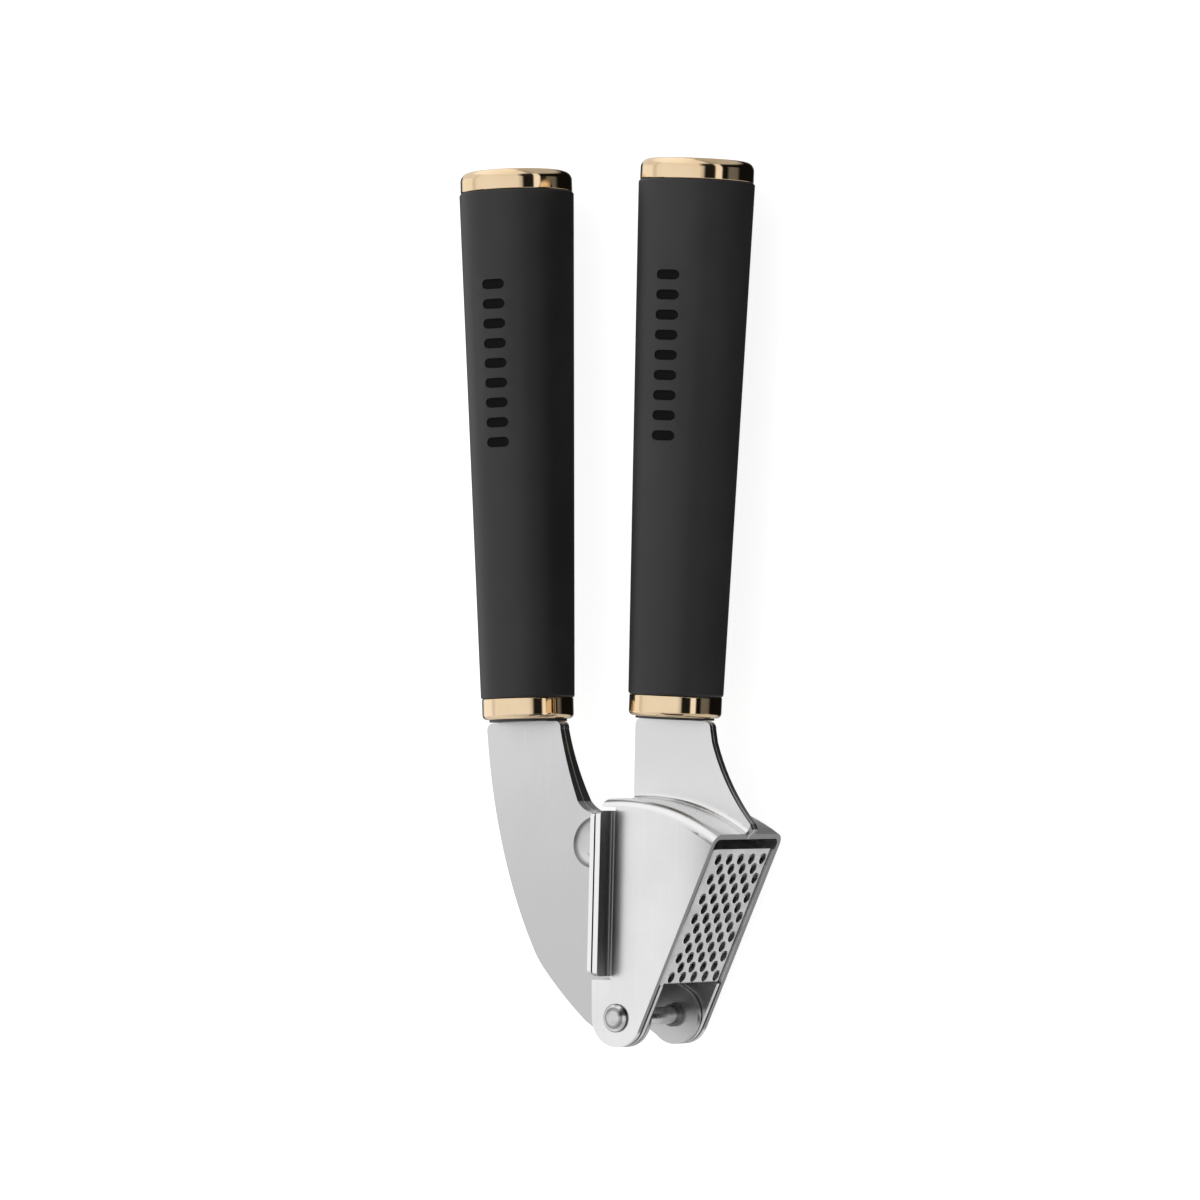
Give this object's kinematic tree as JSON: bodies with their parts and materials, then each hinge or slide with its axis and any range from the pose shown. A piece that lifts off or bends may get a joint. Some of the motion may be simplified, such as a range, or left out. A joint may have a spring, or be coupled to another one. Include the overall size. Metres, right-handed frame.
{
  "type": "garlic press",
  "caption": "Hinged hand press with round grips, a swing-out perforated basket and a hanging plunger that pushes garlic through the holes.",
  "frame": {"origin": "middle of the footprint of the press lying on its side, on the surface it lies on", "axes": "+Y along the handles, away from the pivot; +X towards the fixed lever and the perforated front; +Z along the pivot pin"},
  "size_m": [0.0746, 0.191, 0.0355],
  "materials": {
    "brushed_shell": "satin brushed stainless steel",
    "brushed_lever": "satin brushed stainless steel",
    "strainer_steel": "satin stainless steel with punched holes",
    "pivot_steel": "polished stainless steel",
    "plunger_steel": "satin stainless steel",
    "gold_trim": "polished champagne gold plating",
    "soft_touch": "matte soft-touch black",
    "handle_core": "black moulded plastic"
  },
  "bodies": {
    "housing": {"housing_front_shell": "brushed_shell", "housing_rear_shell": "brushed_shell", "pivot_pin": "pivot_steel", "pivot_rivet_head": "pivot_steel", "fixed_collar": "gold_trim", "fixed_grip": "soft_touch", "fixed_core": "handle_core", "fixed_cap_plug": "handle_core", "fixed_end_cap": "gold_trim"},
    "strainer": {"strainer_basket": "strainer_steel"},
    "press_lever": {"press_lever_front_shell": "brushed_lever", "press_lever_rear_shell": "brushed_lever", "lever_bush_front": "pivot_steel", "lever_bush_rear": "pivot_steel", "press_collar": "gold_trim", "press_grip": "soft_touch", "press_core": "handle_core", "press_cap_plug": "handle_core", "press_end_cap": "gold_trim"},
    "plunger": {"plunger_hanger": "plunger_steel", "plunger_foot": "plunger_steel"}
  },
  "joints": [
    {"name": "strainer_swing", "type": "hinge", "parent": "housing", "child": "strainer", "pos_m": [0.01026, -0.08919, 0.01775], "axis": [0, 0, 1], "range_deg": [0, 90]},
    {"name": "lever_swing", "type": "hinge", "parent": "strainer", "child": "press_lever", "pos_m": [0.01026, -0.08919, 0.01775], "axis": [0, 0, 1], "range_deg": [-6.5, 100]},
    {"name": "plunger_swing", "type": "hinge", "parent": "press_lever", "child": "plunger", "pos_m": [-0.00164, -0.05169, 0.01775], "axis": [0, 0, 1], "range_deg": [-4, 1]}
  ],
  "couplings": [
    {"joint": "plunger_swing", "follows": "lever_swing", "ratio": -0.03}
  ]
}
